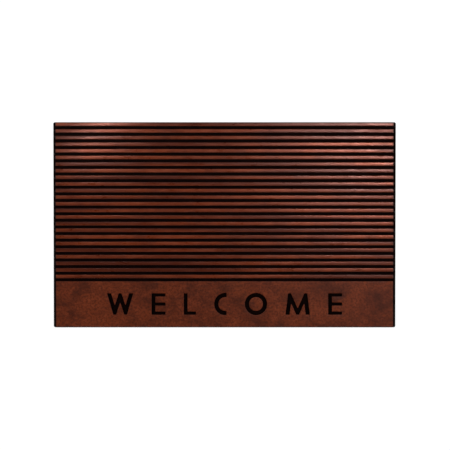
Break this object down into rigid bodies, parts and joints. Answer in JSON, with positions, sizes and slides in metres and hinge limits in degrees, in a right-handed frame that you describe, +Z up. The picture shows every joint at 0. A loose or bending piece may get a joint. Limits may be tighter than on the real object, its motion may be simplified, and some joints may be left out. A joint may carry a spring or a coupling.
{
  "type": "door mat",
  "caption": "Rectangular ribbed rubber door mat with a plain front band and the word welcome sunk into it.",
  "frame": {"origin": "on the ground, in the middle of the mat's footprint", "axes": "+X along the long side, to the right as the word is read; +Y from the front band to the ribbed back edge; +Z up, away from the ground"},
  "size_m": [0.762, 0.4572, 0.0095],
  "materials": {
    "black_rubber": "bare moulded rubber, matt, with a faint crumb texture",
    "copper_brown_rubber": "rubber with a hand-rubbed copper-brown metallic paint on its raised faces"
  },
  "bodies": {
    "root": {"base_sheet": "black_rubber", "rib_01": "copper_brown_rubber", "rib_02": "copper_brown_rubber", "rib_03": "copper_brown_rubber", "rib_04": "copper_brown_rubber", "rib_05": "copper_brown_rubber", "rib_06": "copper_brown_rubber", "rib_07": "copper_brown_rubber", "rib_08": "copper_brown_rubber", "rib_09": "copper_brown_rubber", "rib_10": "copper_brown_rubber", "rib_11": "copper_brown_rubber", "rib_12": "copper_brown_rubber", "rib_13": "copper_brown_rubber", "rib_14": "copper_brown_rubber", "rib_15": "copper_brown_rubber", "rib_16": "copper_brown_rubber", "rib_17": "copper_brown_rubber", "rib_18": "copper_brown_rubber", "rib_19": "copper_brown_rubber", "rib_20": "copper_brown_rubber", "rib_21": "copper_brown_rubber", "rib_22": "copper_brown_rubber", "rib_23": "copper_brown_rubber", "rib_24": "copper_brown_rubber", "welcome_band": "copper_brown_rubber", "letter_o_centre": "copper_brown_rubber"}
  },
  "joints": []
}
